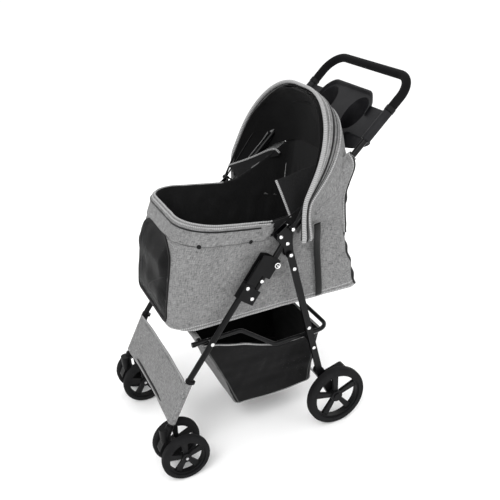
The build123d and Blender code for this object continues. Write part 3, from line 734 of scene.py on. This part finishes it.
def hoodGrid(rows, shrink=0.0):
    control = np.array(hood["arches"], float)
    control[:, 1] -= shrink * 1000
    control[:, 3] -= shrink * 1000
    at = np.linspace(0, len(control) - 1, rows)
    spec = np.stack([np.interp(at, np.arange(len(control)), control[:, k]) for k in range(4)], axis=1)
    return np.stack([wholeArch(archCurve(*row)) for row in spec]), spec[:, 0]


hoodPoints, hoodAngles = hoodGrid(66)
hoodOut = np.stack([archNormal(c) for c in hoodPoints])
arcShare = np.linspace(0, 1, hoodPoints.shape[1])[None, :]
reach = np.sin(math.pi * arcShare) ** 0.6
seams = sum(np.exp(-(((hoodAngles[:, None] - a) / 0.7) ** 2)) for a in hood["seams"])
ridge = 0.0012 - 0.0032 * seams * reach
sagShare = np.clip((hood["sagFrom"] - hoodAngles[:, None]) / hood["sagOver"], 0, 1)
sag = -0.006 * np.sin(sagShare * math.pi) * reach
crease = 0.0022 * folds(arcShare * 0.9, hoodAngles[:, None] / 57.3 * 0.25, 41, 0.16, (0.8, 2.0)) * reach
hoodSkin = hoodPoints + (ridge + sag + crease)[..., None] * hoodOut
hoodSheet = sheetSurface("hoodSheet", hoodSkin, linen, 0.0016, flip=True)
hoodInner, _ = hoodGrid(50, shrink=0.0105)
innerShare = np.linspace(0, 1, hoodInner.shape[1])[None, :]
hang = 0.004 * folds(innerShare * 0.9, np.linspace(0, 0.3, 50)[:, None], 43, 0.12)
hang = hang * np.sin(math.pi * innerShare)
innerNormals = np.stack([archNormal(c) for c in hoodInner])
hoodLining = sheetSurface("hoodLining", hoodInner + (np.minimum(hang, 0.0) - 0.001)[..., None] * innerNormals,
                          knit, 0.001, flip=True)
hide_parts("canopy_hood")


def hoodPiece(piece):
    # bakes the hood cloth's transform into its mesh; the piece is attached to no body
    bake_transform(piece)


hoodPiece(hoodSheet)
hoodPiece(hoodLining)
for name, angle, reachMm, corner, halfMm, width, height, material, slot in (
    ("hoodHem", 61.8, 334, 198, 228.5, 0.0115, 0.0085, pipingTape, "linen_grey"),
    ("hoodHemRear", 58.8, 333, 197, 229, 0.0034, 0.0034, pipingTape, "linen_grey"),
    ("hoodZipFront", 55.5, 329, 193, 229.2, 0.0062, 0.0036, zipCoil, "mesh_black"),
    ("hoodStitch", 52.5, 323.5, 189, 228.6, 0.0016, 0.0014, zipCoil, "mesh_black"),
    ("hoodPiping", 49.5, 317, 184, 229, 0.0046, 0.0046, pipingTape, "linen_grey"),
):
    curve = wholeArch(resample(archCurve(angle, reachMm, corner, halfMm, 60), 70))
    hoodPiece(carried(name, curve, oval(width, height), archNormal(curve), material))
print("hood")

# side wings: the hood's cloth round the outside of the handle tube
wing = {
    "front": [(56, 600), (66, 668), (90, 695), (122, 724), (152, 752), (178, 787)],
    "rear": [(203, 560), (199, 600), (198, 667), (204, 730), (208, 765), (198, 800)],
    "tubeX": 195.0, "tubeGap": 10.6, "hiddenX": 0.158, "hiddenShare": 0.22,
}


def handleLine(y):
    # height of the middle of the handle tube above y, from the tray's two ends in the CAD
    return 0.6231 + (y - 0.0254) * 0.8833


rows, cols = 60, 44
frontEdge, rearEdge = resample(millimetres(*wing["front"]), rows), resample(millimetres(*wing["rear"]), rows)
a = np.linspace(0, 1, cols)[None, :, None]
flatWing = frontEdge[:, None] * (1 - a) + rearEdge[:, None] * a
wy, wz = flatWing[..., 0], flatWing[..., 1]
above = (wz - handleLine(wy)) * math.cos(math.atan(0.8833))
tubeGap = wing["tubeGap"] / 1000
wrapX = wing["tubeX"] / 1000 + np.sqrt(np.maximum(tubeGap ** 2 - np.clip(above, 0, tubeGap * 0.98) ** 2, 0))
baseX = 0.1705 + 0.008 * smooth((wz - 0.60) / 0.1)
lean = smooth(1 - (-above - 0.006) / 0.085)
wx = np.where(above > 0, wrapX, baseX + (wrapX - baseX) * lean)
sunk = 1 - smooth(np.linspace(0, 1, rows)[:, None] / wing["hiddenShare"])
# the bottom goes below the bag's skin, and the rear edge halfway to it
hidden = np.maximum(sunk * (1 - 0.55 * lean), 0.5 * smooth((a[..., 0] - 0.8) / 0.2) * (1 - lean))
wx = wx + (wing["hiddenX"] - wx) * hidden
wave = 0.0016 * folds(wy, wz, 51, 0.09, (1.4, 0.8)) * (1 - 0.7 * lean)
wingPoints = np.stack([wx + wave + 0.0014, wy, wz], axis=2)
wingLine = {"axis": (0, 0.662, -0.749), "anchor": (0, 0.1, 0.689), "keep": 0.2}
for side, word in ((1, "left"), (-1, "right")):
    turned = np.array([side, 1, 1])
    patch = sheetSurface(f"handleWing_{word}", wingPoints * turned, linen, 0.0016, flip=side < 0)
    place(patch, "handle_frame", "linen_grey", wingLine)
    for label, column, width, material in (
        ("Fold", 1, 0.0026, darkTapeAndFlapShadow), ("Rear", cols - 1, 0.0042, pipingTape),
    ):
        line = wingPoints[:, column] * turned
        piping = carried(f"wing{label}_{word}", line, oval(width, width), (side, 0, 0), material)
        place(piping, "handle_frame", "linen_grey", wingLine)
    zipLine = wingPoints[:, -1] * turned + np.array([0, 0.004, 0])
    place(carried(f"wingZip_{word}", zipLine, oval(0.0050, 0.0062), (side, 0, 0), zipCoil), "handle_frame",
          "mesh_black", wingLine)
    # loop of tape that ties the cloth to the tube
    loopRadius = 0.0118
    turnAt = np.linspace(-0.6 * math.pi, 0.75 * math.pi, 26)
    for number, (yLoop, zLoop) in enumerate(((178, 758), (204, 781))):
        middle = np.array([0.195, yLoop / 1000, zLoop / 1000])
        squareTo = np.array([0, -0.662, 0.749])
        ringPath = middle + loopRadius * (
            np.cos(turnAt)[:, None] * [1, 0, 0] + np.sin(turnAt)[:, None] * squareTo
        )
        up = unit(ringPath - middle)
        tape = np.array([(-0.008, -0.0007), (0.008, -0.0007), (0.008, 0.0007), (-0.008, 0.0007)])
        loop = carried(f"tubeLoop{number}_{word}", ringPath * turned, tape, up * turned, linen)
        place(loop, "handle_frame", "linen_grey")
print("wings")

# gussets: black panels between the rim and the hood, edged with tape. The left one hangs loose inside
# the hood and the right one is spread out to the hoop
gussets = {
    "left": {
        "front": [(166, 41, 648), (150, 34, 690), (132, 30, 722), (120, 28, 738)],
        "rear": [(163, 96, 676), (166, 128, 716), (160, 152, 752), (146, 160, 772)],
    },
    "right": {
        "front": [(-218, 32, 676), (-190, 95, 694), (-165, 162, 721), (-150, 172, 705)],
        "rear": [(-164, 40, 652), (-163, 84, 668), (-160, 130, 694), (-150, 168, 697)],
    },
}
across = np.linspace(0, 1, 16)[None, :, None]
for word, edges in gussets.items():
    front, rear = resample(millimetres(*edges["front"]), 30), resample(millimetres(*edges["rear"]), 30)
    points = front[:, None] * (1 - across) + rear[:, None] * across
    loose = 0.004 * folds(points[..., 1], points[..., 2], 61, 0.06) * np.sin(math.pi * across[..., 0])
    points[..., 0] += loose
    place(sheetSurface(f"cabinGusset_{word}", points, lining, 0.001), "handle_frame", "mesh_black", wingLine)
    place(carried(f"gussetTape_{word}", front, oval(0.0066, 0.0034), (1, 0, 0), pipingTape), "handle_frame",
          "linen_grey", wingLine)

# footrest
legFoot, legBend = np.array([-0.3740, 0.1343]), np.array([-0.2892, 0.2817])
lowerRun = unit(legBend - legFoot)
frontward = np.array([-lowerRun[1], lowerRun[0]])
share = np.linspace(0.192, 0.915, 44)
up = legFoot + share[:, None] * (legBend - legFoot)
tube, sleeve = 0.195, 0.0098
wrapAngle = np.linspace(-2.3, math.pi / 2, 14)
sideX, sideN = tube + sleeve * np.cos(wrapAngle), sleeve * np.sin(wrapAngle)
flatX = np.linspace(tube - 0.006, -tube + 0.006, 60)
slack = sleeve - 0.0075 * np.sin(np.linspace(0, math.pi, 60)) ** 0.5
across = np.concatenate([sideX, flatX, -sideX[::-1]])
raised = np.concatenate([sideN, slack, sideN[::-1]])
ripple = 0.0016 * folds(across[None, :], up[:, 1:], 71, 0.11, (0.7, 1.3)) * (np.abs(across) < 0.18)[None, :]
offset = raised[None, :] + ripple
restPoints = np.stack([
    np.broadcast_to(across, offset.shape), up[:, :1] + frontward[0] * offset,
    up[:, 1:] + frontward[1] * offset,
], axis=2)
footrest = sheetSurface("footrestPanel", restPoints, linen, 0.0012)
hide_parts("footrest_panel")
place(footrest, "front_frame", "linen_grey")
hemShare = share[[1, 5, -2, -5]]
for number, s in enumerate(hemShare):
    at = legFoot + s * (legBend - legFoot)
    lifted = slack + 0.0012
    line = np.column_stack([flatX, at[0] + frontward[0] * lifted, at[1] + frontward[1] * lifted])
    width, material = ((0.0034, pipingTape) if number in (0, 2) else (0.0010, darkTapeAndFlapShadow))
    place(carried(f"footrestHem{number}", line, oval(width, width * 0.6), (0, *frontward), material),
          "front_frame", "linen_grey")
print("footrest")

# basket
basket = {
    "front": [(-150, 100), (-200, 245), (-238, 352)],
    "rear": [(98, 96), (112, 190), (124, 276)],
    "top": [(-238, 352), (-190, 341), (-110, 312), (-36, 284), (30, 277), (124, 276)],
    "bottom": [(-150, 100), (-30, 92), (98, 96)],
    "half": [135, 166],
    "frontRadius": [14, 8],
    "rearRadius": 26,
    "counts": (20, 8, 60, 5, 26),
}


def basketRelief(points):
    y, z = points[..., 1], points[..., 2]
    slackHere = np.sin(math.pi * np.clip((z - 0.1) / 0.2, 0, 1))
    broad, fine = 0.003 * folds(y + points[..., 0], z, 81, 0.12), 0.0012 * folds(y, z, 82, 0.04)
    return slackHere * (-0.004 + broad + fine)


basketLine = {"axis": (0, 0, 1), "anchor": (0, 0, 0.35), "keep": 0.15}
basketWall, basketOut = tub(basket, 46)
basketSkin = basketWall + basketRelief(basketWall)[..., None] * basketOut
sidePart = (np.abs(basketOut[:-1, :, 0]) > 0.75)
basketSling = surface(
    "basketSling", basketSkin, gridUv(basketSkin, True), wrap=True, kinds=sidePart.astype(int),
    materials=[linenDark, basketKnit], thickness=0.0012,
)
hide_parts("basket_fabric")
place(basketSling, "basket", "basket_mesh", basketLine)
basketInside, insideOut = tub(basket, 40, out=-0.0035, tFrom=0.01, tTo=0.975)
basketInside += basketRelief(basketInside)[..., None] * insideOut
basketInner = surface("basketInner", basketInside, gridUv(basketInside, True), wrap=True, materials=[knit],
                      thickness=0.0008)
place(basketInner, "basket", "basket_mesh", basketLine)
flooring("basketFloor", tub(basket, 2)[0][0], 0.001, knit, "basket_mesh", basketLine, "basket")
for name, t, material, width in (
    ("basketHem", 0.006, pipingTape, 0.0046), ("basketRimTape", 0.985, pipingTape, 0.0072),
):
    ring, ringOut = ringAt(basket, t, 0.0008, basketRelief)
    wavy = ring + np.array([0, 0, 1.0]) * (0.0016 * folds(ring[:, 1], ring[:, 0], 83, 0.10))[:, None]
    tape = carried(name, wavy, oval(width * 0.5, width), ringOut, material, closed=True)
    place(tape, "basket", "linen_grey", basketLine)
for side, word in ((1, "left"), (-1, "right")):
    turned = np.array([side, 1, 1])
    for label, column in (("Front", 20 + 8 + 60 + 1), ("Rear", 20 + 7)):
        line = basketSkin[:, column] * turned
        piping = carried(f"basketCorner{label}_{word}", line, oval(0.0036, 0.0036), (side, 0, 0), darkTapeAndFlapShadow)
        place(piping, "basket", "linen_grey", basketLine)

# sleeves of cloth that hang the basket on its tubes
frontBarLow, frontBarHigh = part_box("basket_crossbar")
barY, barZ = (frontBarLow.y + frontBarHigh.y) / 2, (frontBarLow.z + frontBarHigh.z) / 2
around = np.linspace(0, 2 * math.pi, 24)
barX = np.linspace(-0.160, 0.160, 60)
barRadius = 0.0078 + 0.0004 * folds(barX[:, None], around[None, :] * 0.01, 91, 0.03)
sleevePoints = np.stack([
    barX[:, None] + 0 * barRadius, barY + barRadius * np.cos(around)[None, :],
    barZ + barRadius * np.sin(around)[None, :] - 0.001
], axis=2)
place(sheetSurface("basketBarSleeve", sleevePoints, linen, 0.001), "basket", "linen_grey")
print("basket")

# floor pad
padLow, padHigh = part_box("floor_pad")
px = np.linspace(-1, 1, 60)[None, :]
py = np.linspace(-1, 1, 90)[:, None]
edge = (1 - np.abs(px) ** 6) * (1 - np.abs(py) ** 8)
crown = np.clip(edge, 0, 1) ** 0.4
cx, cy = (padLow.x + padHigh.x) / 2, (padLow.y + padHigh.y) / 2
hx, hy = (padHigh.x - padLow.x) / 2, (padHigh.y - padLow.y) / 2
slope = -14 / 521
baseZ = 0.4035 + slope * (cy + py * hy + 0.281)
quiltPitch = 0.055
quilt = np.abs(np.sin((px * hx + py * hy) * math.pi / quiltPitch))
quilt = quilt * np.abs(np.sin((px * hx - py * hy) * math.pi / quiltPitch))
puffHigh = 0.004 + 0.014 * crown * (0.55 + 0.45 * quilt ** 0.35)
padX = cx + px * hx * (0.985 + 0 * py)
padY = cy + py * hy * (0.985 + 0 * px)
topSide = np.stack([padX, padY, baseZ + puffHigh + 0 * px], axis=2)
lowSide = np.stack([padX, padY, baseZ + 0.0025 + 0 * px], axis=2)
padTop = surface("floorPad", topSide, gridUv(topSide), materials=[lining])
padBase = surface("floorPadBase", lowSide, gridUv(lowSide), materials=[lining], flip=True)
body = bmesh.new()
body.from_mesh(padTop.data)
body.from_mesh(padBase.data)
bpy.data.objects.remove(padBase)
rims = [e for e in body.edges if e.is_boundary]
bmesh.ops.bridge_loops(body, edges=rims)
bmesh.ops.recalc_face_normals(body, faces=body.faces)
body.to_mesh(padTop.data)
body.free()
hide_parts("floor_pad")
place(padTop, "front_frame", "pad_fleece", legLine)
print("pad")
# floor, lights and camera
studio = {"floor": "#ffffff", "world": "#ffffff", "worldStrength": 1.08}
floorData = bpy.data.meshes.new("studioFloor")
reach = 30.0
corners = [(-reach, -reach, 0), (reach, -reach, 0), (reach, reach, 0), (-reach, reach, 0)]
floorData.from_pydata(corners, [], [(0, 1, 2, 3)])
floorObject = bpy.data.objects.new("studioFloor", floorData)
bpy.context.scene.collection.objects.link(floorObject)
floorObject.location.z = min(-0.0005, cadBox[0].z - 0.0005)
floorMaterial, _, _ = startMaterial("matt white paper sweep", studio["floor"], 0.9)
floorData.materials.append(floorMaterial)
world = bpy.data.worlds.new("studio")
world.use_nodes = True
world.node_tree.nodes["Background"].inputs["Color"].default_value = toLinear(studio["world"])
world.node_tree.nodes["Background"].inputs["Strength"].default_value = studio["worldStrength"]
bpy.context.scene.world = world
for name, spot, size, power, aim in (
    ("keyLight", (1.6, -1.6, 2.6), 1.6, 42, (0, 0, 0.5)),
    ("fillLight", (2.4, 0.9, 1.4), 1.8, 16, (0, 0, 0.5)),
    ("backLight", (-1.8, 1.2, 2.2), 1.6, 18, (0, 0, 0.5)),
):
    light = bpy.data.lights.new(name, "AREA")
    light.size, light.energy = size, power
    lamp = bpy.data.objects.new(name, light)
    bpy.context.scene.collection.objects.link(lamp)
    lamp.location = spot
    lamp.rotation_euler = (Vector(aim) - Vector(spot)).to_track_quat("-Z", "Y").to_euler()

view = {"at": (1.6730, -0.6959, 1.4039), "yaw": 67.34, "pitch": 26.58, "roll": -4.75, "lens": 51.36}
yaw, pitch, roll = (math.radians(view[k]) for k in ("yaw", "pitch", "roll"))
ahead = Vector((-math.sin(yaw) * math.cos(pitch), math.cos(yaw) * math.cos(pitch), -math.sin(pitch)))
right = ahead.cross(Vector((0, 0, 1))).normalized()
upward = right.cross(ahead)
rolledRight = right * math.cos(roll) + upward * math.sin(roll)
rolledUp = upward * math.cos(roll) - right * math.sin(roll)
lens = bpy.data.cameras.new("camera")
lens.sensor_width, lens.lens = 36.0, view["lens"]
lens.shift_x, lens.shift_y = -0.0088, -0.0022
lens.clip_start, lens.clip_end = 0.05, 100
camera = bpy.data.objects.new("camera", lens)
camera.matrix_world = Matrix((
    (rolledRight.x, rolledUp.x, -ahead.x, view["at"][0]),
    (rolledRight.y, rolledUp.y, -ahead.y, view["at"][1]),
    (rolledRight.z, rolledUp.z, -ahead.z, view["at"][2]),
    (0, 0, 0, 1),
))
bpy.context.scene.collection.objects.link(camera)
bpy.context.scene.camera = camera
bpy.context.scene.view_settings.view_transform = "Standard"
